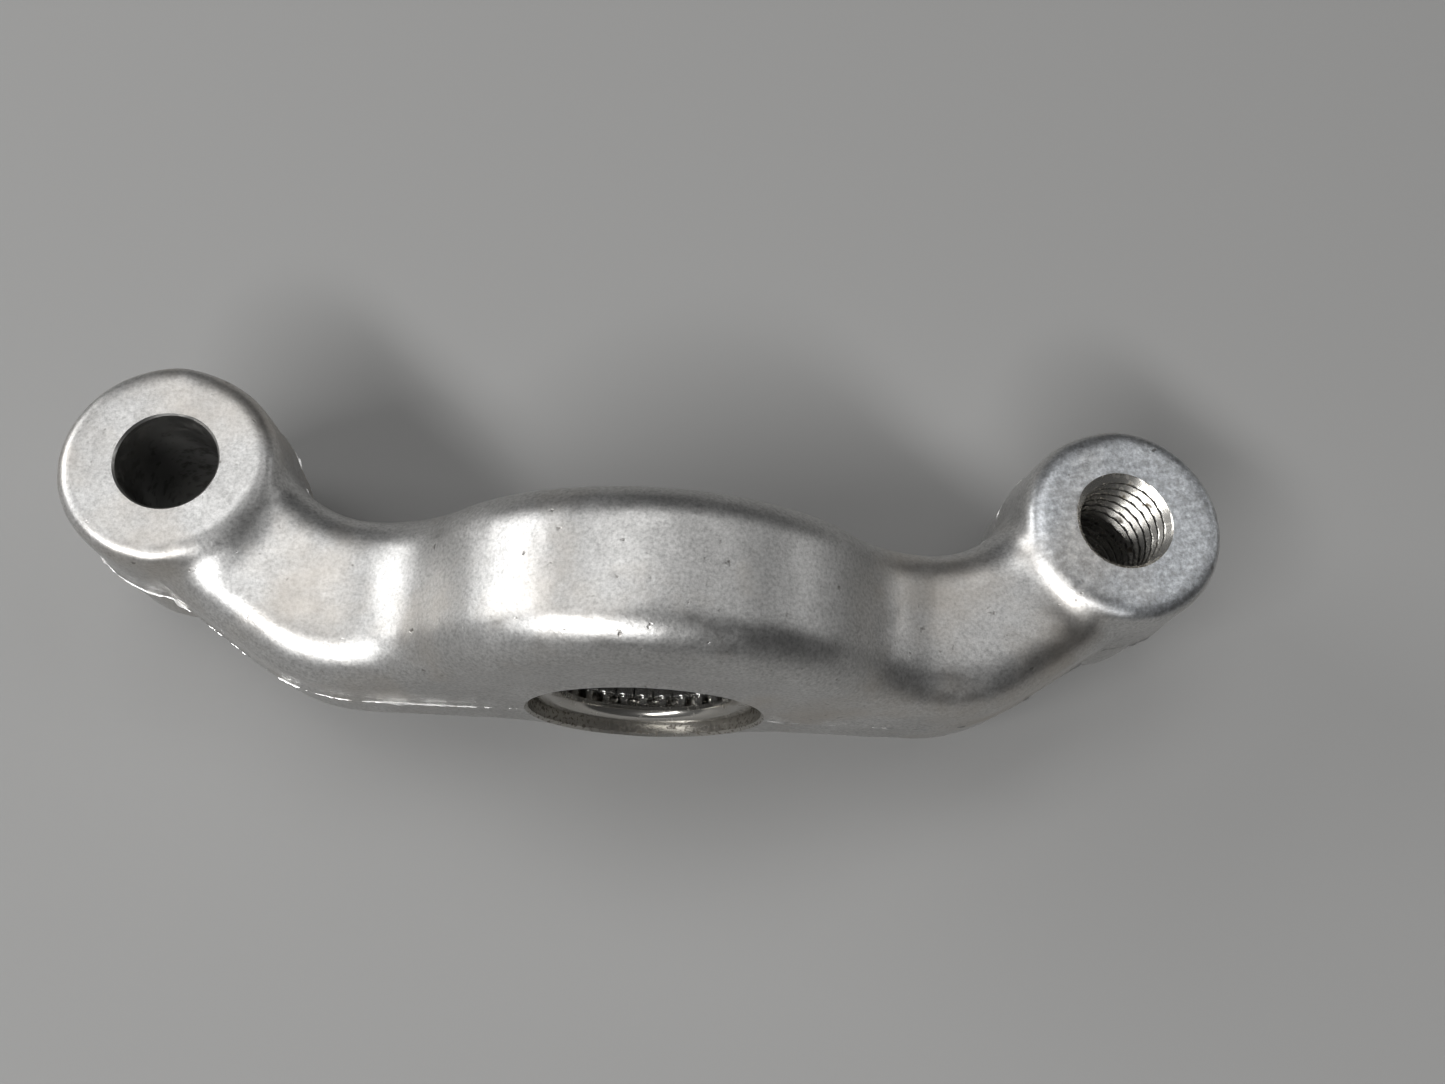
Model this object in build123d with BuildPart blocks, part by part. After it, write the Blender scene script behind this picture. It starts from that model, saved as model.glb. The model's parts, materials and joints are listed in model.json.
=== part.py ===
"""Cast rocker lever with a full-complement needle roller bearing in its hub.

The pivot bore lies along Y, through the hub. A plain eye at -X and a tapped eye at +X
stand along Z, set back from the hub. The origin is the middle of the pivot bore, and the
casting's parting plane is Z = 0. Millimetres.
"""
import math
import os

from build123d import *

# ---- Lever casting -------------------------------------------------------------------
lever_width = 16.0  # hub and arms, front face to back face, at the parting plane
arm_half_height = 8.0
eye_reach = 44.4  # pivot to each eye, along X
eye_setback = 10.9  # pivot to each eye, along Y
eye_radius = 9.95  # at the parting plane
eye_half_height = 9.5
eye_overlap = 0.35  # how far an arm's rounded end stays inside its eye's drum
front_sweep_radius = 17.0  # bend from the front face into an arm's flank
flank_angle = 34.0  # that flank's angle to X
flank_inset = 1.4  # how far that flank runs inside the rim of its eye
eye_root_radius = 3.0  # flank into eye
back_sweep_radius = 10.0  # back face into eye
hub_crown = 22.0  # top of the hub above the pivot
hub_crown_radius = 24.0
hub_wall = 3.0  # metal below the bearing
waist_radius = 12.0  # crown into arm
belly_radius = 6.0  # underside of the hub into arm
draft_angle = 1.0
upper_edge_radius = 4.0
lower_edge_radius = 2.0
eye_edge_radius = 1.5
flash_height = 0.25  # the fin along the parting plane
flash_thickness = 0.4

# ---- Holes in the eyes ---------------------------------------------------------------
rod_hole_radius = 4.5
rod_hole_chamfer = 0.2
tapped_hole_radius = 4.25  # M10 x 1.5 at its tap drill's size
tapped_hole_chamfer = 0.45

# ---- Bearing -------------------------------------------------------------------------
shaft_radius = 8.0
shaft_clearance = 0.01  # radial, shaft to rollers
roller_count = 28
roller_gap = 0.02  # between neighbouring rollers
roller_edge_radius = 0.15
track_clearance = 0.02  # radial, rollers to the cup's track
cup_wall = 0.97
cup_width = 13.7
cup_corner_radius = 1.0
lip_clearance = 0.15  # radial, shaft to the cup's curled lips
lip_wall = 0.9  # the lip's thickness along Y
lip_edge_radius = 0.8
hook_wall = 0.35  # the part of a lip that turns in over the rollers' ends
hook_length = 1.3  # from the lip's outside face
hook_clearance = 0.06  # radial, hook to roller end
end_clearance = 0.05  # along Y, lip to roller end
roller_end_length = 1.35
mouth_chamfer = 0.5  # the hub's bore, at both faces

# ---- Derived places ------------------------------------------------------------------
front = -lever_width / 2
back = lever_width / 2
same_place = 1e-4  # a corner this near to a line or circle lies on it

# The rollers fill the ring around the shaft, so their size follows from their number.
half_pitch = math.sin(math.pi / roller_count)
roller_inner = shaft_radius + shaft_clearance
roller_radius = (roller_inner * half_pitch - roller_gap / 2) / (1 - half_pitch)
pitch_radius = roller_inner + roller_radius
track_radius = pitch_radius + roller_radius + track_clearance
cup_radius = track_radius + cup_wall
lip_radius = shaft_radius + lip_clearance
roller_end_radius = pitch_radius - lip_radius - hook_wall - hook_clearance
lip_inside = cup_width / 2 - lip_wall
roller_half_length = lip_inside - end_clearance
roller_shoulder = roller_half_length - roller_end_length

belly = cup_radius + hub_wall
reach = eye_reach + 2 * eye_radius  # past the ends of the lever


def lever_plan():
    """The lever seen from above: straight hub and swept arms, rounded where the eyes stand."""
    flank = math.radians(flank_angle)
    rise, run = math.sin(flank), math.cos(flank)
    from_eye = eye_radius - flank_inset
    flank_end = (eye_reach + from_eye * rise, eye_setback - from_eye * run)
    # the front face and the flank would cross here, and the sweep rounds that corner
    crossing = flank_end[0] - (flank_end[1] - front) / math.tan(flank)
    sweep_run = front_sweep_radius * math.tan(flank / 2)
    flank_start = (crossing + sweep_run * run, front + sweep_run * rise)
    with BuildSketch() as plan:
        with BuildLine():
            front_edge = Line((0, front), (crossing - sweep_run, front))
            TangentArc(front_edge @ 1, flank_start, tangent=front_edge % 1)
            Polyline(flank_start, flank_end, (eye_reach, back), (0, back), (0, front))
        make_face()
        with Locations((eye_reach, eye_setback)):
            Circle(eye_radius - eye_overlap)
        corners = plan.vertices().filter_by(on_arm_end)
        fillet(corners.sort_by(Axis.Y)[0], eye_root_radius)
        corner = plan.vertices().filter_by(on_arm_end).sort_by(Axis.X)[0]
        fillet(corner, back_sweep_radius)
        mirror(about=Plane.YZ)
    return plan.sketch


def on_arm_end(vertex):
    from_eye = math.hypot(vertex.X - eye_reach, vertex.Y - eye_setback)
    return abs(from_eye - eye_radius + eye_overlap) < same_place


def lever_side():
    """The lever seen from the front: arched hub with a round belly, and level arms."""
    crown_centre = hub_crown - hub_crown_radius
    crown_foot = math.sqrt(hub_crown_radius**2 - (arm_half_height - crown_centre) ** 2)
    belly_foot = math.sqrt(belly**2 - arm_half_height**2)
    with BuildSketch(Plane.XZ) as side:
        with BuildLine():
            ThreePointArc((-crown_foot, arm_half_height), (0, hub_crown), (crown_foot, arm_half_height))
            Polyline(
                (crown_foot, arm_half_height),
                (reach, arm_half_height),
                (reach, -arm_half_height),
                (belly_foot, -arm_half_height),
            )
            ThreePointArc((belly_foot, -arm_half_height), (0, -belly), (-belly_foot, -arm_half_height))
            Polyline(
                (-belly_foot, -arm_half_height),
                (-reach, -arm_half_height),
                (-reach, arm_half_height),
                (-crown_foot, arm_half_height),
            )
        make_face()
        waists = side.vertices().filter_by(lambda vertex: abs(abs(vertex.X) - crown_foot) < same_place)
        fillet(waists, waist_radius)
        belly_corners = side.vertices().filter_by(lambda vertex: abs(abs(vertex.X) - belly_foot) < same_place)
        fillet(belly_corners, belly_radius)
    return side.sketch


def eye_blanks():
    """The two eyes as solid drums, rounded at both ends."""
    with BuildPart() as eyes:
        with BuildSketch():
            with Locations((-eye_reach, eye_setback), (eye_reach, eye_setback)):
                Circle(eye_radius)
        extrude(amount=eye_half_height, both=True, taper=draft_angle)
        ends = eyes.faces().filter_by(Plane.XY)
        fillet(ends.edges(), eye_edge_radius)
    return eyes.part


def hub_bore():
    """The hub's bore with its two chamfered mouths, as a solid to cut."""
    mouth = cup_radius + mouth_chamfer
    past = back + mouth_chamfer
    with BuildPart() as bore:
        with BuildSketch(Plane.XY):
            with BuildLine():
                Polyline(
                    (0, -past),
                    (mouth + mouth_chamfer, -past),
                    (cup_radius, front + mouth_chamfer),
                    (cup_radius, back - mouth_chamfer),
                    (mouth + mouth_chamfer, past),
                    (0, past),
                    close=True,
                )
            make_face()
        revolve(axis=Axis.Y)
    return bore.part


def rims(part):
    """The edges between the lever's walls and its top or underside."""
    clear = part.edges().filter_by(lambda edge: min(abs(v.Z) for v in edge.vertices()) > flash_thickness)
    return clear.filter_by(Axis.Y, reverse=True)


plan = lever_plan()
blank_half_height = hub_crown + hub_wall
with BuildPart() as lever_body:
    extrude(plan, amount=blank_half_height, both=True, taper=draft_angle)
    extrude(lever_side(), amount=reach, both=True, mode=Mode.INTERSECT)
    fillet(rims(lever_body).filter_by(lambda edge: edge.center().Z > 0), upper_edge_radius)
    fillet(rims(lever_body).filter_by(lambda edge: edge.center().Z < 0), lower_edge_radius)
    add(eye_blanks())
    with BuildSketch() as flash:
        add(plan)
        with Locations((-eye_reach, eye_setback), (eye_reach, eye_setback)):
            Circle(eye_radius)
        offset(amount=flash_height)
    extrude(amount=flash_thickness / 2, both=True)
    add(hub_bore(), mode=Mode.SUBTRACT)
    for side, hole_radius, hole_chamfer in (
        (-1, rod_hole_radius, rod_hole_chamfer),
        (1, tapped_hole_radius, tapped_hole_chamfer),
    ):
        with Locations((side * eye_reach, eye_setback)):
            Cylinder(hole_radius, 2 * eye_half_height, mode=Mode.SUBTRACT)
        mouths = lever_body.edges(Select.LAST).filter_by(GeomType.CIRCLE)
        chamfer(mouths, hole_chamfer)


def bearing_cup():
    """The drawn cup: a thin sleeve whose lips turn in over the rollers' ends."""
    half = cup_width / 2
    hook_radius = lip_radius + hook_wall
    hook_end = half - hook_length
    with BuildPart() as cup:
        with BuildSketch(Plane.XY) as section:
            with BuildLine():
                Polyline(
                    (track_radius, 0),
                    (track_radius, lip_inside),
                    (hook_radius, lip_inside),
                    (hook_radius, hook_end),
                    (lip_radius, hook_end),
                    (lip_radius, half),
                    (cup_radius, half),
                    (cup_radius, 0),
                    close=True,
                )
            make_face()
            outer_edge = section.vertices().group_by(Axis.Y)[-1]
            fillet(outer_edge.sort_by(Axis.X)[-1], cup_corner_radius)
            fillet(section.vertices().group_by(Axis.Y)[-1].sort_by(Axis.X)[0], lip_edge_radius)
            mirror(about=Plane.XZ)
        revolve(axis=Axis.Y)
    return cup.part


def roller_blank():
    """One roller on the Y axis: a rounded body with a turned-down end at each side."""
    with BuildPart() as roller:
        Cylinder(roller_radius, 2 * roller_shoulder, rotation=(90, 0, 0))
        fillet(roller.edges().filter_by(GeomType.CIRCLE), roller_edge_radius)
        Cylinder(roller_end_radius, 2 * roller_half_length, rotation=(90, 0, 0))
    return roller.part


bearing_parts = {"bearing_cup": bearing_cup()}
blank = roller_blank()
for number in range(roller_count):
    turn = 360 / roller_count * number
    ring_place = Pos(*Vector(pitch_radius, 0, 0).rotate(Axis.Y, turn))
    bearing_parts[f"needle_roller_{number + 1:02d}"] = ring_place * blank

os.makedirs("parts", exist_ok=True)
for name, piece in {"lever_body": lever_body.part, **bearing_parts}.items():
    piece.label = name
    export_step(piece, f"parts/{name}.step")
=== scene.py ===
import json
import math

import bmesh
import bpy
import numpy as np
from mathutils import Matrix, Vector, noise


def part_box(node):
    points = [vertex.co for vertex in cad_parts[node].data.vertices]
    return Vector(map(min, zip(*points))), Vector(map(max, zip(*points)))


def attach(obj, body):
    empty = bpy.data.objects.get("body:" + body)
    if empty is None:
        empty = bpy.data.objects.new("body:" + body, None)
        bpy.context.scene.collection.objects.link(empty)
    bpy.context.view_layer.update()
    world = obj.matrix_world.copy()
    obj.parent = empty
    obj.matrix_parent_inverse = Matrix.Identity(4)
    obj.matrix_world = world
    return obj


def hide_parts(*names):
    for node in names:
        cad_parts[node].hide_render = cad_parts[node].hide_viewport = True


mm = 0.001

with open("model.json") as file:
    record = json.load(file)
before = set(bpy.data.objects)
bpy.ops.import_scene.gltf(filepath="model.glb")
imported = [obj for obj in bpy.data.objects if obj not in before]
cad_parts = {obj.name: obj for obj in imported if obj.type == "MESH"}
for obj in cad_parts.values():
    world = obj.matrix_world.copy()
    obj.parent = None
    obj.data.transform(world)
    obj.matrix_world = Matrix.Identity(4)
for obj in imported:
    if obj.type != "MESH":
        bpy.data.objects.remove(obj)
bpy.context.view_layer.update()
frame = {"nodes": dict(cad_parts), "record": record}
scene = bpy.context.scene
print("stage 1: frame loaded")


# the places of the holes, the eyes and the bearing come from the frame
def mountNamed(name):
    return next(m for m in frame["record"]["mounts"] if m["name"] == name)


castingLow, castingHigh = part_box("lever_body")
cupLow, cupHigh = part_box("bearing_cup")
rollerLow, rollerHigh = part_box("needle_roller_01")
rollerNames = sorted(n for n in frame["nodes"] if n.startswith("needle_roller_"))
rodEye = Vector(mountNamed("rod_hole")["pos_m"])
rodHoleRadius = mountNamed("rod_hole")["dims"]["r_mm"] * mm
screwEye = Vector(mountNamed("adjuster_thread")["pos_m"])
tapDrillRadius = mountNamed("adjuster_thread")["dims"]["r_mm"] * mm
rodPlace = (rodEye.x, rodEye.y, 0)
tapPlace = (screwEye.x, screwEye.y, 0)
eyeTop = mountNamed("rod_eye_top")["pos_m"][2]
lipRadius = mountNamed("pivot_bore")["dims"]["r_mm"] * mm
eyeRadius = castingHigh.x - screwEye.x
cupRadius = (cupHigh.x - cupLow.x) / 2
cupHalf = (cupHigh.y - cupLow.y) / 2
hubHalf = -castingLow.y


# small helpers that wire up material nodes
def newMaterial(name):
    material = bpy.data.materials.new(name)
    material.use_nodes = True
    tree = material.node_tree
    return material, tree, tree.nodes["Principled BSDF"]


def addNode(tree, kind, **values):
    node = tree.nodes.new(kind)
    for key, value in values.items():
        if key in node.inputs:
            node.inputs[key].default_value = value
        else:
            setattr(node, key, value)
    return node


def noiseAt(tree, place, scale, detail=4.0, roughness=0.55):
    node = addNode(tree, "ShaderNodeTexNoise", Scale=scale, Detail=detail, Roughness=roughness)
    tree.links.new(place, node.inputs["Vector"])
    return node.outputs["Fac"]


def ramp(tree, source, stops):
    node = tree.nodes.new("ShaderNodeValToRGB")
    while len(node.color_ramp.elements) < len(stops):
        node.color_ramp.elements.new(0.5)
    for element, (at, value) in zip(node.color_ramp.elements, stops):
        element.position = at
        element.color = value if len(value) == 4 else (*value, 1)
    tree.links.new(source, node.inputs["Fac"])
    return node.outputs["Color"]


def grey(value):
    return (value, value, value)


def mixColour(tree, amount, first, second, blend="MIX"):
    node = addNode(tree, "ShaderNodeMix", data_type="RGBA", blend_type=blend)
    sockets = (node.inputs[0], node.inputs[6], node.inputs[7])
    for socket, value in zip(sockets, (amount, first, second)):
        if isinstance(value, bpy.types.NodeSocket):
            tree.links.new(value, socket)
        else:
            socket.default_value = value
    return node.outputs[2]


def maths(tree, operation, first, second=0.0, third=0.0, clamp=False):
    node = addNode(tree, "ShaderNodeMath", operation=operation, use_clamp=clamp)
    for socket, value in zip(node.inputs, (first, second, third)):
        if isinstance(value, bpy.types.NodeSocket):
            tree.links.new(value, socket)
        else:
            socket.default_value = value
    return node.outputs[0]


def bump(tree, height, strength, distance, below=None):
    node = addNode(tree, "ShaderNodeBump", Strength=strength, Distance=distance)
    tree.links.new(height, node.inputs["Height"])
    if below is not None:
        tree.links.new(below, node.inputs["Normal"])
    return node.outputs["Normal"]


# the die-cast skin: a bigger PerMetre value makes a finer pattern
castSkin = {
    "dark": (0.46, 0.455, 0.445),
    "mid": (0.54, 0.535, 0.525),
    "light": (0.61, 0.605, 0.595),
    "stain": (0.50, 0.455, 0.40),
    "freckle": (0.70, 0.72, 0.75),
    "blue": (0.92, 0.96, 1.02),
    "bright": (1.22, 1.27, 1.33),
    "dirt": (0.14, 0.125, 0.11),
    "grainPerMetre": 3200.0,
    "grainDark": 0.74,
    "grainLight": 1.22,
    "grainDepth": 0.03 * mm,
    "mottleDepth": 0.06 * mm,
    "pitsPerMetre": 950.0,
    "pitDepth": 0.06 * mm,
    "pitDirt": 0.6,
    "cloudsPerMetre": 70.0,
    "stainsPerMetre": 85.0,
    "dullRoughness": 0.46,
    "shinyRoughness": 0.36,
    "eyeFaceReach": 10 * mm,  # how far the bluish face spreads toward the hub
    "eyeFaceDepth": 0.9 * mm,  # and how far below the eye's top it starts
    "eyeFaceFade": 0.8 * mm,
}


def castMaterial(values):
    material, tree, shader = newMaterial("castAluminium")
    links = tree.links
    place = tree.nodes.new("ShaderNodeTexCoord").outputs["Object"]
    grain = noiseAt(tree, place, values["grainPerMetre"], 3.0, 0.7)
    mottle = noiseAt(tree, place, values["pitsPerMetre"] * 0.7, 5.0, 0.6)
    clouds = noiseAt(tree, place, values["cloudsPerMetre"], 5.0, 0.6)
    pits = noiseAt(tree, place, values["pitsPerMetre"], 2.0, 0.5)

    tones = [(0.33, values["dark"]), (0.52, values["mid"]), (0.70, values["light"])]
    darkGrain, lightGrain = grey(values["grainDark"]), grey(values["grainLight"])
    grains = [(0.32, darkGrain), (0.5, grey(1.0)), (0.70, lightGrain)]
    tone = ramp(tree, clouds, tones)
    speckle = ramp(tree, grain, grains)
    colour = mixColour(tree, 1.0, tone, speckle, "MULTIPLY")
    stains = noiseAt(tree, place, values["stainsPerMetre"], 4.0)
    stainAt = ramp(tree, stains, [(0.50, grey(0.0)), (0.70, grey(0.6))])
    colour = mixColour(tree, stainAt, colour, (*values["stain"], 1))

    # the tapped eye's face is bluish and speckled
    split = tree.nodes.new("ShaderNodeSeparateXYZ")
    links.new(place, split.inputs[0])
    fade = values["eyeFaceFade"]
    low = eyeTop - values["eyeFaceDepth"]
    onEyeSide = maths(tree, "GREATER_THAN", split.outputs["X"], screwEye.x - values["eyeFaceReach"])
    nearTop = maths(tree, "MULTIPLY_ADD", split.outputs["Z"], 1 / fade, -low / fade, clamp=True)
    onEye = maths(tree, "MULTIPLY", onEyeSide, nearTop)
    scuffs = noiseAt(tree, place, values["pitsPerMetre"] * 1.7, 4.0, 0.7)
    freckled = [(0.36, values["freckle"]), (0.50, values["blue"]), (0.64, values["bright"])]
    speckled = mixColour(tree, 1.0, colour, ramp(tree, scuffs, freckled), "MULTIPLY")
    colour = mixColour(tree, onEye, colour, speckled)
    pitMask = ramp(tree, pits, [(0.23, grey(1.0)), (0.29, grey(0.0))])
    dirtAt = maths(tree, "MULTIPLY", pitMask, values["pitDirt"])
    colour = mixColour(tree, dirtAt, colour, (*values["dirt"], 1))
    links.new(colour, shader.inputs["Base Color"])

    dull, shiny = grey(values["dullRoughness"]), grey(values["shinyRoughness"])
    rough = ramp(tree, mottle, [(0.25, dull), (0.75, shiny)])
    links.new(rough, shader.inputs["Roughness"])
    shader.inputs["Metallic"].default_value = 1.0
    shader.inputs["Specular IOR Level"].default_value = 0.5

    fine = bump(tree, grain, 0.5, values["grainDepth"])
    rolling = bump(tree, mottle, 0.20, values["mottleDepth"], fine)
    holes = ramp(tree, pits, [(0.22, grey(0.0)), (0.30, grey(1.0))])
    pitted = bump(tree, holes, 0.5, values["pitDepth"], rolling)
    links.new(pitted, shader.inputs["Normal"])
    return material


# the cut metals: "dirty" is the share of the surface under old grease
boreSkin = {
    "colour": (0.42, 0.405, 0.375), "dirt": (0.17, 0.155, 0.135), "dirty": 0.43,
    "roughness": 0.28, "ringsPerMetre": 5200.0, "blotchesPerMetre": 2800.0,
}
drilledSkin = {
    "colour": (0.46, 0.455, 0.44), "dirt": (0.34, 0.33, 0.31), "dirty": 0.42,
    "roughness": 0.30, "ringsPerMetre": 5200.0, "blotchesPerMetre": 900.0,
    "holeMiddleShade": 0.35,  # painted shade: how bright the colour stays at the hole's middle
}
threadSkin = {
    "colour": (0.62, 0.60, 0.56), "dirt": (0.22, 0.19, 0.15), "dirty": 0.38,
    "roughness": 0.27, "ringsPerMetre": 5200.0, "blotchesPerMetre": 900.0,
    # painted shade at the hole's middle, as in the drilled holes
    "holeMiddleShade": 0.30,
}
cupSteel = {
    "colour": (0.50, 0.485, 0.45), "dirt": (0.26, 0.24, 0.21), "dirty": 0.33,
    "roughness": 0.2, "ringsPerMetre": 6000.0, "blotchesPerMetre": 900.0,
}
rollerSteel = {
    "colour": (0.44, 0.435, 0.42), "dirt": (0.14, 0.13, 0.12), "dirty": 0.32,
    "roughness": 0.14, "ringsPerMetre": 9000.0, "blotchesPerMetre": 900.0,
}
finSkin = {
    "colour": (0.74, 0.735, 0.72), "dirt": (0.25, 0.23, 0.21), "dirty": 0.36,
    "roughness": 0.3, "ringsPerMetre": 900.0, "blotchesPerMetre": 900.0,
}
# the last entry places painted shade: within this share of a hole's half-depth from its middle the
# shade is fullest
greaseAndShade = {"roughness": 0.6, "colourEdge": 0.05, "shineEdge": 0.08, "shadeFullUntil": 0.30}
toolMarks = {"strength": 0.25, "depth": 0.01 * mm, "detail": 2.0}


# turned, bored or torn metal: fine rings along one axis, with old grease in patches, and in drilled
# and tapped holes painted shade that darkens the colour towards the hole's middle
def cutMaterial(name, values, axis):
    material, tree, shader = newMaterial(name)
    place = tree.nodes.new("ShaderNodeTexCoord").outputs["Object"]
    split = tree.nodes.new("ShaderNodeSeparateXYZ")
    tree.links.new(place, split.inputs[0])
    rings = addNode(tree, "ShaderNodeTexNoise", noise_dimensions="1D",
                    Scale=values["ringsPerMetre"], Detail=toolMarks["detail"])
    tree.links.new(split.outputs[axis], rings.inputs["W"])
    blotches = noiseAt(tree, place, values["blotchesPerMetre"], 5.0)
    edge, soft = values["dirty"], greaseAndShade["colourEdge"]
    colour = ramp(tree, blotches, [(edge - soft, values["dirt"]), (edge + soft, values["colour"])])
    # painted shade: the colour is darkened towards the middle of the hole's depth, where the recess
    # is shaded
    if "holeMiddleShade" in values:
        depth = maths(tree, "DIVIDE", maths(tree, "ABSOLUTE", split.outputs["Z"]), eyeTop)
        paintedHoleShade = ramp(tree, depth, [(greaseAndShade["shadeFullUntil"], grey(values["holeMiddleShade"])), (1.0, grey(1.0))])
        colour = mixColour(tree, 1.0, colour, paintedHoleShade, "MULTIPLY")
    tree.links.new(colour, shader.inputs["Base Color"])
    greasy, clean = grey(greaseAndShade["roughness"]), grey(values["roughness"])
    rough = ramp(tree, blotches, [(edge - soft, greasy), (edge + greaseAndShade["shineEdge"], clean)])
    tree.links.new(rough, shader.inputs["Roughness"])
    shader.inputs["Metallic"].default_value = 0.95
    marks = bump(tree, rings.outputs["Fac"], toolMarks["strength"], toolMarks["depth"])
    tree.links.new(marks, shader.inputs["Normal"])
    return material


castAluminium = castMaterial(castSkin)
boredAluminium = cutMaterial("boredAluminium", boreSkin, "Y")
drilledAluminium = cutMaterial("drilledAluminium", drilledSkin, "Z")
threadAluminium = cutMaterial("threadAluminium", threadSkin, "Z")
bearingSteel = cutMaterial("bearingSteel", cupSteel, "Y")
needleSteel = cutMaterial("needleSteel", rollerSteel, "Y")
finAluminium = cutMaterial("finAluminium", finSkin, "X")
print("stage 2: materials made")


# small helpers that make and change meshes
def newObject(name, mesh, materials):
    piece = bpy.data.objects.new(name, mesh)
    scene.collection.objects.link(piece)
    for material in materials:
        mesh.materials.append(material)
    return piece


# turns (radius, height) points about Z, then carries the mesh by the matrix "turned"
def lathe(name, profile, segments, turned, materials, closed=False):
    bm = bmesh.new()
    rings = []
    for radius, height in profile:
        if radius < 1e-9:
            rings.append([bm.verts.new((0, 0, height))])
            continue
        angles = (2 * math.pi * k / segments for k in range(segments))
        spots = ((radius * math.cos(a), radius * math.sin(a), height) for a in angles)
        rings.append([bm.verts.new(spot) for spot in spots])
    pairs = list(zip(rings, rings[1:]))
    if closed:
        pairs.append((rings[-1], rings[0]))
    for lower, upper in pairs:
        for k in range(segments):
            n = (k + 1) % segments
            corners = [lower[k % len(lower)], lower[n % len(lower)],
                       upper[n % len(upper)], upper[k % len(upper)]]
            bm.faces.new(list(dict.fromkeys(corners)))  # a triangle where a ring is one point
    bmesh.ops.recalc_face_normals(bm, faces=bm.faces)
    bm.transform(turned)
    mesh = bpy.data.meshes.new(name)
    bm.to_mesh(mesh)
    bm.free()
    return newObject(name, mesh, materials)


# points of the arc that rounds a profile's corner
def rounded(corner, before, after, radius, steps=5):
    c, b, a = (np.array(p, float) for p in (corner, before, after))
    toB, toA = (b - c) / np.linalg.norm(b - c), (a - c) / np.linalg.norm(a - c)
    half = math.acos(float(np.clip(toB @ toA, -1, 1))) / 2
    reach = radius / math.tan(half)
    centre = c + (toB + toA) / np.linalg.norm(toB + toA) * radius / math.sin(half)
    start, end = c + toB * reach, c + toA * reach
    points = []
    for k in range(steps + 1):
        p = start + (end - start) * k / steps - centre
        points.append(tuple(centre + p / np.linalg.norm(p) * radius))
    return points


def applyModifier(piece, kind, **values):
    modifier = piece.modifiers.new(kind.lower(), kind)
    for key, value in values.items():
        setattr(modifier, key, value)
    bpy.context.view_layer.objects.active = piece
    bpy.ops.object.modifier_apply(modifier=modifier.name)


def smoothShade(piece, sharpDegrees=35.0):
    piece.data.shade_smooth()
    piece.data.set_sharp_from_angle(angle=math.radians(sharpDegrees))


alongY = Matrix.Rotation(math.radians(-90), 4, "X")  # stands a lathed piece along the bore


# the lever's casting
casting = {
    "weld": 1e-7,
    "voxel": 0.32 * mm,
    "smoothing": 14,
    "blending": 160,
    "smoothFactor": 0.5,
    "neckReach": 3.2 * mm,
    "neckOutside": 0.5 * mm,
    "waistAt": 24.0 * mm,
    "waistReach": 8.0 * mm,
    "blendAbove": 4 * mm,
    "blendFade": 2 * mm,
    "plugInset": 0.02 * mm,
    "hubPlugInset": 0.2 * mm,
    "hubPlugOver": 1.1,  # in mouth chamfers
    "rodPlugOver": 0.5 * mm,
    "tapPlugOver": 0.8 * mm,
    "unevenness": 0.035 * mm,
    "unevenPerMetre": 260.0,
    "unevenFiner": 2.7,
    "unevenFinerShare": 0.5,
    "mouthChamfer": 0.5 * mm,
    "rodHoleChamfer": 0.2 * mm,
    "threadChamfer": 0.45 * mm,
    "threadPitch": 1.5 * mm,
    "threadDepth": 0.72 * mm,
    "threadLand": 0.22,  # the flat left between two grooves, and the slope beside it
    "threadSlope": 0.66,
    "tapMouthDepth": 0.6 * mm,
    "tapMouthSegments": 128,
    "tapSegments": 96,
    "tapRowsPerPitch": 20,
}


# a closed drum that fills a hole before the casting is remeshed
def plug(radius, half, turned, at):
    low, high = -half, half
    piece = lathe("plug", [(0, low), (radius, low), (radius, high), (0, high)], 96, turned, [])
    piece.location = at
    return piece


def castingBlank(values):
    source = frame["nodes"]["lever_body"]
    mesh = source.data.copy()
    mesh.materials.clear()
    blank = newObject("leverCasting", mesh, [castAluminium])
    bm = bmesh.new()
    bm.from_mesh(mesh)
    bmesh.ops.remove_doubles(bm, verts=bm.verts, dist=values["weld"])
    bm.to_mesh(mesh)
    bm.free()
    hubPlugRadius = cupRadius + values["hubPlugOver"] * values["mouthChamfer"]
    eyeHalf = eyeTop - values["plugInset"]
    plugs = [
        plug(hubPlugRadius, hubHalf - values["hubPlugInset"], alongY, (0, 0, 0)),
        plug(rodHoleRadius + values["rodPlugOver"], eyeHalf, Matrix(), rodPlace),
        plug(tapDrillRadius + values["tapPlugOver"], eyeHalf, Matrix(), tapPlace),
    ]
    bpy.ops.object.select_all(action="DESELECT")
    for piece in plugs:
        piece.select_set(True)
    blank.select_set(True)
    bpy.context.view_layer.objects.active = blank
    bpy.ops.object.join()
    applyModifier(blank, "REMESH", mode="VOXEL", voxel_size=values["voxel"])
    factor = values["smoothFactor"]
    applyModifier(blank, "SMOOTH", factor=factor, iterations=values["smoothing"])
    group = blank.vertex_groups.new(name="blends")
    for vertex in blank.data.vertices:
        weight = blendWeight(vertex.co, values)
        if weight > 0.01:
            group.add([vertex.index], weight, "REPLACE")
    applyModifier(blank, "SMOOTH", factor=factor, iterations=values["blending"],
                  vertex_group="blends")
    return blank


# how strongly a spot is blended: the necks beside the eyes and the waists beside the hub
def blendWeight(place, values):
    fromAxis = math.hypot(abs(place.x) - screwEye.x, place.y - screwEye.y)
    towardHub = (screwEye.x - abs(place.x)) / eyeRadius
    onNeck = 1 - abs(fromAxis - eyeRadius - values["neckOutside"]) / values["neckReach"]
    onWaist = 1 - abs(abs(place.x) - values["waistAt"]) / values["waistReach"]
    lifted = min(max((abs(place.z) - values["blendAbove"]) / values["blendFade"], 0), 1)
    neck = min(onNeck, max(towardHub, 0) * 2)
    waist = onWaist if place.z > 0 else 0
    return lifted * max(neck, waist, 0)


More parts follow.
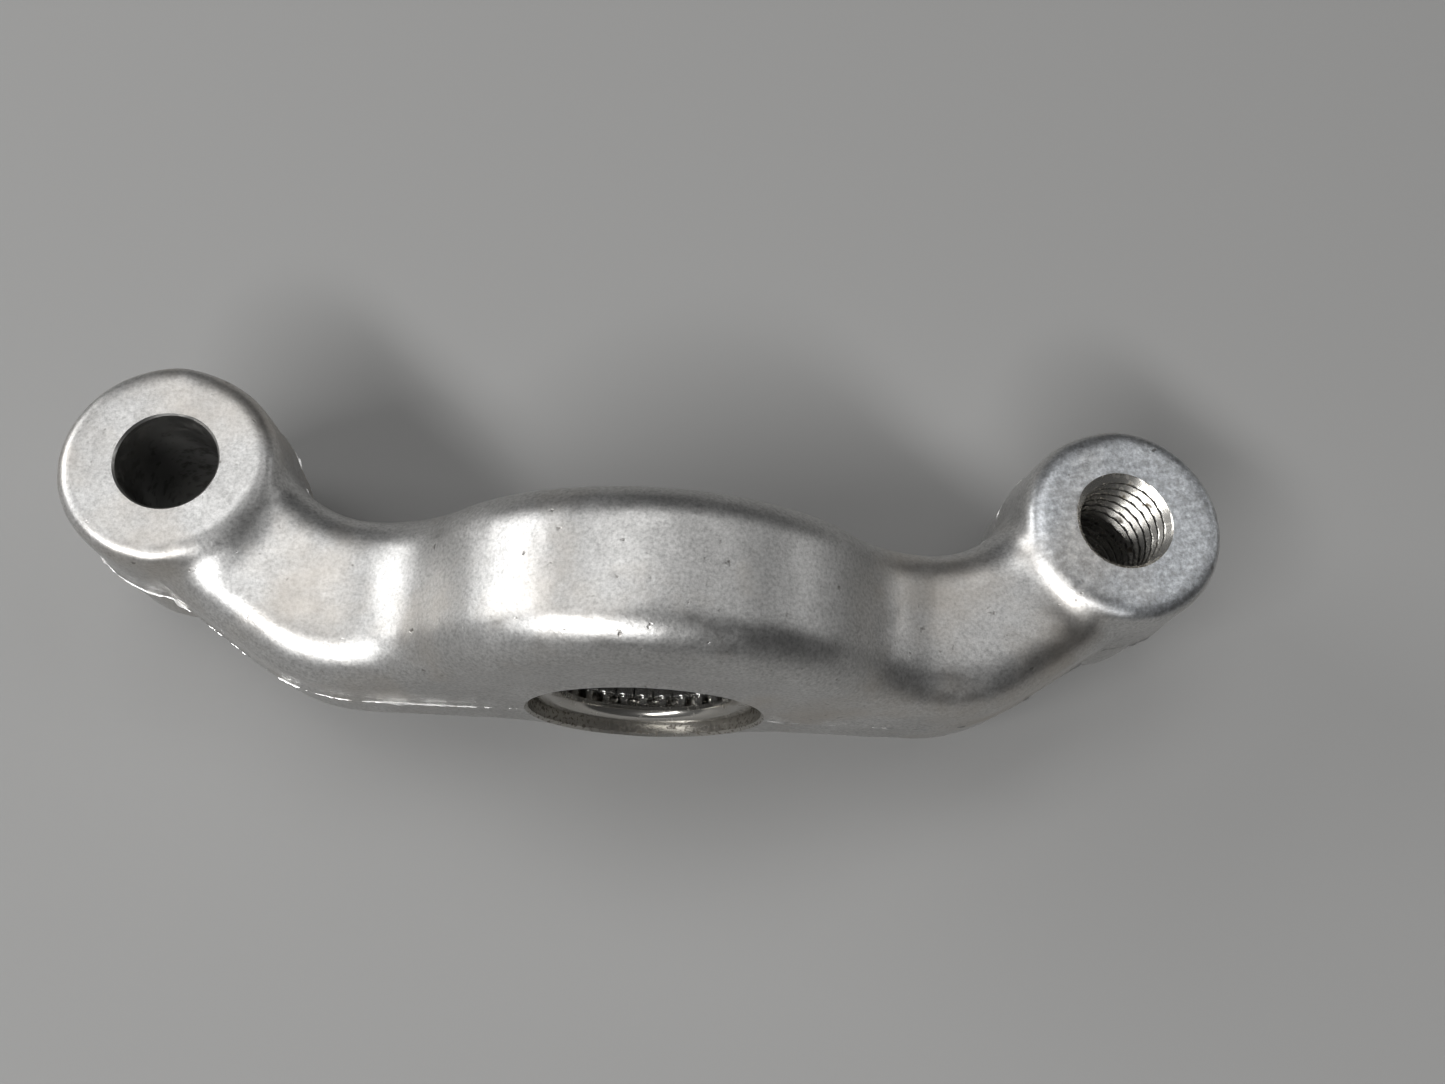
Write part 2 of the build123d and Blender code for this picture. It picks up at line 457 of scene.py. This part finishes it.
# low swells and hollows, as a die-cast skin has
def unevenSkin(piece, values):
    mesh = piece.data
    scale = values["unevenPerMetre"]
    moved = []
    for vertex in mesh.vertices:
        finer = noise.noise(vertex.co * scale * values["unevenFiner"])
        height = noise.noise(vertex.co * scale) + values["unevenFinerShare"] * finer
        moved.append(vertex.co + vertex.normal * height * values["unevenness"])
    for vertex, place in zip(mesh.vertices, moved):
        vertex.co = place


# the thin fin along the parting plane
fin = {
    "height": 0.03 * mm,
    "lowest": -0.10 * mm,
    "ragged": 0.26 * mm,
    "raggedPerMetre": 420,
    "raggedFinePerMetre": 1900,
    "raggedFineShare": 0.6,
    "halfThickness": 0.11 * mm,
    "tipThickness": 0.025 * mm,
    "wander": 0.07 * mm,
    "wanderPerMetre": 700,
    "wanderShift": (3, 5, 7),
    "rootDepth": 0.20 * mm,
    "mouthClear": 0.1 * mm,
    "creaseDegrees": 40,
}


# the piece's outline in the parting plane, as one ordered loop
def partingContour(piece):
    bm = bmesh.new()
    bm.from_mesh(piece.data)
    everything = bm.verts[:] + bm.edges[:] + bm.faces[:]
    cut = bmesh.ops.bisect_plane(bm, geom=everything, plane_co=(0, 0, 0), plane_no=(0, 0, 1))
    edges = {e for e in cut["geom_cut"] if isinstance(e, bmesh.types.BMEdge)}
    corner = next(iter(edges)).verts[0]
    loop, before = [], None
    while not loop or corner is not loop[0]:
        loop.append(corner)
        onward = next(e for e in corner.link_edges
                      if e in edges and e.other_vert(corner) is not before)
        before, corner = corner, onward.other_vert(corner)
    points = [v.co.copy() for v in loop]
    bm.free()
    area = sum(a.x * b.y - b.x * a.y for a, b in zip(points, points[1:] + points[:1]))
    return points if area > 0 else points[::-1]


# four corners of the fin at one point of the outline
def finSection(values, point, ahead, behind):
    along = (ahead - behind).normalized()
    outward = Vector((along.y, -along.x, 0))
    fine = noise.noise(point * values["raggedFinePerMetre"])
    rough = noise.noise(point * values["raggedPerMetre"]) + values["raggedFineShare"] * fine
    height = max(values["height"] + values["ragged"] * rough, values["lowest"])
    drift = noise.noise(point * values["wanderPerMetre"] + Vector(values["wanderShift"]))
    level = Vector((0, 0, values["wander"] * drift))
    up = Vector((0, 0, 1))
    root, tip = point - outward * values["rootDepth"] + level, point + outward * height + level
    return [root + up * values["halfThickness"], tip + up * values["tipThickness"],
            tip - up * values["tipThickness"], root - up * values["halfThickness"]]


# the ragged fin left where the two die halves met, open at the bore's mouths
def makeFin(values, points):
    count = len(points)
    mouth = cupRadius + casting["mouthChamfer"] + values["mouthClear"]
    bm = bmesh.new()
    sections = []
    for k, point in enumerate(points):
        if abs(point.x) < mouth and abs(point.y) > hubHalf / 2:
            sections.append(None)
            continue
        corners = finSection(values, point, points[(k + 2) % count], points[k - 2])
        sections.append([bm.verts.new(c) for c in corners])
    for k, section in enumerate(sections):
        following = sections[(k + 1) % count]
        if section and following:
            for i in range(4):
                n = (i + 1) % 4
                bm.faces.new((section[i], section[n], following[n], following[i]))
        elif section:
            bm.faces.new(section)
        elif following:
            bm.faces.new(reversed(following))
    bmesh.ops.recalc_face_normals(bm, faces=bm.faces)
    mesh = bpy.data.meshes.new("partingFin")
    bm.to_mesh(mesh)
    bm.free()
    piece = newObject("partingFin", mesh, [finAluminium])
    smoothShade(piece, values["creaseDegrees"])
    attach(piece, "lever")


# a tap-shaped solid: its radius follows the thread's profile up a helix
def threadTap(values):
    pitch, depth = values["threadPitch"], values["threadDepth"]
    land, slope = values["threadLand"], values["threadSlope"]
    low, high = -eyeTop - pitch, eyeTop + pitch
    around, perPitch = values["tapSegments"], values["tapRowsPerPitch"]
    rows = int((high - low) / pitch * perPitch)
    bm = bmesh.new()
    rings = []
    for row in range(rows + 1):
        height = low + (high - low) * row / rows
        ring = []
        for k in range(around):
            phase = (height / pitch - k / around) % 1.0
            rise = abs(phase - 0.5) * 2  # 1 at the groove's bottom
            radius = tapDrillRadius + depth * min(max((rise - land) / slope, 0), 1)
            angle = 2 * math.pi * k / around
            x, y = screwEye.x + radius * math.cos(angle), screwEye.y + radius * math.sin(angle)
            ring.append(bm.verts.new((x, y, height)))
        rings.append(ring)
    for lower, upper in zip(rings, rings[1:]):
        for k in range(around):
            n = (k + 1) % around
            bm.faces.new((lower[k], lower[n], upper[n], upper[k]))
    bm.faces.new(reversed(rings[0]))
    bm.faces.new(rings[-1])
    mesh = bpy.data.meshes.new("threadTap")
    bm.to_mesh(mesh)
    bm.free()
    return newObject("threadTap", mesh, [threadAluminium])


# a hole with two conical mouths; a waist leaves the hole's own wall alone
def holeCutter(name, radius, chamfer, half, turned, at, material, waist=0.0, segments=192):
    past = half + chamfer
    mouth = radius + 2 * chamfer
    neck, neckAt = radius - waist, half - chamfer - waist
    profile = [(0, -past), (mouth, -past), (neck, -neckAt),
               (neck, neckAt), (mouth, past), (0, past)]
    cutter = lathe(name, profile, segments, turned, [material])
    cutter.location = at
    return cutter


def cutAway(piece, cutter):
    bpy.context.view_layer.update()
    applyModifier(piece, "BOOLEAN", operation="DIFFERENCE", object=cutter,
                  solver="EXACT", material_mode="TRANSFER")
    bpy.data.objects.remove(cutter)


def makeCasting(values):
    piece = castingBlank(values)
    unevenSkin(piece, values)
    makeFin(fin, partingContour(piece))
    cutAway(piece, holeCutter("hubCut", cupRadius, values["mouthChamfer"], hubHalf,
                              alongY, (0, 0, 0), boredAluminium))
    cutAway(piece, holeCutter("rodCut", rodHoleRadius, values["rodHoleChamfer"], eyeTop,
                              Matrix(), rodPlace, drilledAluminium))
    cutAway(piece, threadTap(values))
    cutAway(piece, holeCutter("tapMouth", tapDrillRadius, values["threadChamfer"], eyeTop,
                              Matrix(), tapPlace, threadAluminium,
                              values["tapMouthDepth"], values["tapMouthSegments"]))
    smoothShade(piece)
    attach(piece, "lever")
    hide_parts("lever_body")
    return piece


leverCasting = makeCasting(casting)
print("stage 3: casting made,", len(leverCasting.data.polygons), "faces")


# the drawn cup around the rollers
cup = {
    "wall": 0.97 * mm,
    "corner": 1.2 * mm,
    "lipWall": 0.9 * mm,
    "lipEdge": 0.95 * mm,
    "hookWall": 0.35 * mm,
    "hookLength": 1.3 * mm,
    "insideCorner": 0.3 * mm,
    "hookRoot": 0.15 * mm,
    "hookTip": 0.1 * mm,
    "hookRim": 0.08 * mm,
    "fit": 0.01 * mm,
    "segments": 192,
    "arcSteps": 8,
    "creaseDegrees": 50,
}


def makeCup(values):
    outer, track = cupRadius - values["fit"], cupRadius - values["wall"]
    hook = lipRadius + values["hookWall"]
    inside, hookEnd = cupHalf - values["lipWall"], cupHalf - values["hookLength"]
    half = [(track, 0), (track, inside - values["insideCorner"])]
    half += rounded((track, inside), (track, 0), (hook, inside), values["insideCorner"])
    half += rounded((hook, inside), (track, inside), (hook, hookEnd), values["hookRoot"])
    half += rounded((hook, hookEnd), (hook, inside), (lipRadius, hookEnd), values["hookTip"])
    half += rounded((lipRadius, hookEnd), (hook, hookEnd), (lipRadius, cupHalf), values["hookRim"])
    steps = values["arcSteps"]
    lip = (lipRadius, cupHalf)
    half += rounded(lip, (lipRadius, hookEnd), (outer, cupHalf), values["lipEdge"], steps)
    half += rounded((outer, cupHalf), lip, (outer, 0), values["corner"], steps)
    half += [(outer, 0)]
    mirrored = [(r, -h) for r, h in reversed(half[1:-1])]
    profile = half + mirrored
    piece = lathe("bearingCup", profile, values["segments"], alongY, [bearingSteel], closed=True)
    smoothShade(piece, values["creaseDegrees"])
    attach(piece, "lever")
    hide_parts("bearing_cup")


# one needle roller with its two turned-down ends
roller = {
    "edge": 0.16 * mm,
    "endRadius": 0.449 * mm,
    "endLength": 1.35 * mm,
    "endDome": 0.1 * mm,
    "endRoot": 0.08 * mm,
    "segments": 40,
    "creaseDegrees": 60,
}


def rollerMesh(values):
    radius = (rollerHigh.x - rollerLow.x) / 2
    half = (rollerHigh.y - rollerLow.y) / 2
    shoulder = half - values["endLength"]
    end = values["endRadius"]
    profile = [(0, -half)] + rounded((end, -half), (0, -half), (end, 0), values["endDome"], 4)
    profile += rounded((end, -shoulder), (end, -half), (radius, -shoulder), values["endRoot"], 3)
    profile += rounded((radius, -shoulder), (end, -shoulder), (radius, 0), values["edge"], 5)
    profile += [(r, -h) for r, h in reversed(profile)]
    piece = lathe("rollerShape", profile, values["segments"], alongY, [needleSteel])
    smoothShade(piece, values["creaseDegrees"])
    mesh = piece.data
    bpy.data.objects.remove(piece)
    return mesh


def makeRollers(values):
    shape = rollerMesh(values)
    for name in rollerNames:
        low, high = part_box(name)
        piece = bpy.data.objects.new("roller" + name[-2:], shape)
        scene.collection.objects.link(piece)
        piece.location = (low + high) / 2
        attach(piece, "roller_" + name[-2:])
        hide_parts(name)


makeCup(cup)
makeRollers(roller)
print("stage 4: bearing made")


# floor, sky and lamps
studio = {
    "floorColour": (0.30, 0.298, 0.293),
    "floorRoughness": 0.85,
    "floorSize": 2.4,
    "skyLeft": (0.95, 0.97, 1.0),
    "skyRight": (0.40, 0.405, 0.41),
    "skyEdges": (0.30, 0.72),  # where the left tone ends and the right one begins
    "skyStrength": 0.10,
    "lamps": [
        # name, place, size across, size down, power
        ("nearPanel", (-0.42, -0.52, 0.72), 0.80, 0.14, 8.6),
        ("leftPanel", (-0.86, 0.28, 0.44), 0.46, 0.30, 2.8),
        ("topPanel", (-0.20, 0.33, 0.90), 0.66, 0.32, 1.9),
        ("rightPanel", (0.46, 0.34, 0.83), 0.56, 0.32, 0.75),
        ("lowPanel", (0.90, 0.34, 0.34), 0.40, 0.30, 0.50),
    ],
}


def makeFloor(values):
    half = values["floorSize"] / 2
    level = castingLow.z
    mesh = bpy.data.meshes.new("studioFloor")
    corners = [(-half, -half, level), (half, -half, level),
               (half, half, level), (-half, half, level)]
    mesh.from_pydata(corners, [], [(0, 1, 2, 3)])
    material, _, shader = newMaterial("paleFloor")
    shader.inputs["Base Color"].default_value = (*values["floorColour"], 1)
    shader.inputs["Roughness"].default_value = values["floorRoughness"]
    newObject("studioFloor", mesh, [material])


def makeSky(values):
    world = bpy.data.worlds.new("studioSky")
    scene.world = world
    world.use_nodes = True
    tree = world.node_tree
    background = tree.nodes["Background"]
    place = tree.nodes.new("ShaderNodeTexCoord").outputs["Generated"]
    split = tree.nodes.new("ShaderNodeSeparateXYZ")
    tree.links.new(place, split.inputs[0])
    side = maths(tree, "MULTIPLY_ADD", split.outputs["X"], 0.5, 0.5)
    leftEnd, rightStart = values["skyEdges"]
    colour = ramp(tree, side, [(leftEnd, values["skyLeft"]), (rightStart, values["skyRight"])])
    tree.links.new(colour, background.inputs["Color"])
    background.inputs["Strength"].default_value = values["skyStrength"]


def makeLamps(values):
    for name, place, across, down, power in values["lamps"]:
        light = bpy.data.lights.new(name, "AREA")
        light.shape = "RECTANGLE"
        light.size = across
        light.size_y = down
        light.energy = power
        lamp = bpy.data.objects.new(name, light)
        scene.collection.objects.link(lamp)
        lamp.location = place
        lamp.rotation_euler = (-Vector(place)).to_track_quat("-Z", "Y").to_euler()


# the camera: place and aim in millimetres
view = {
    "place": (-2.2, -32.2, 119.0),
    "aim": (6.8, 9.7, 0.0),
    "rollDegrees": 14.92,
    "lens": 31.64,
    "sensorWidth": 36.0,
    "nearest": 5 * mm,
}


def makeCamera(values):
    data = bpy.data.cameras.new("studioCamera")
    data.lens = values["lens"]
    data.sensor_width = values["sensorWidth"]
    data.clip_start = values["nearest"]
    camera = bpy.data.objects.new("studioCamera", data)
    scene.collection.objects.link(camera)
    place, aim = Vector(values["place"]) * mm, Vector(values["aim"]) * mm
    turn = (aim - place).to_track_quat("-Z", "Y").to_matrix().to_4x4()
    roll = Matrix.Rotation(math.radians(values["rollDegrees"]), 4, "Z")
    camera.matrix_world = Matrix.Translation(place) @ turn @ roll
    scene.camera = camera


scene.view_settings.view_transform = "Standard"
makeFloor(studio)
makeSky(studio)
makeLamps(studio)
makeCamera(view)
print("stage 5: studio set")
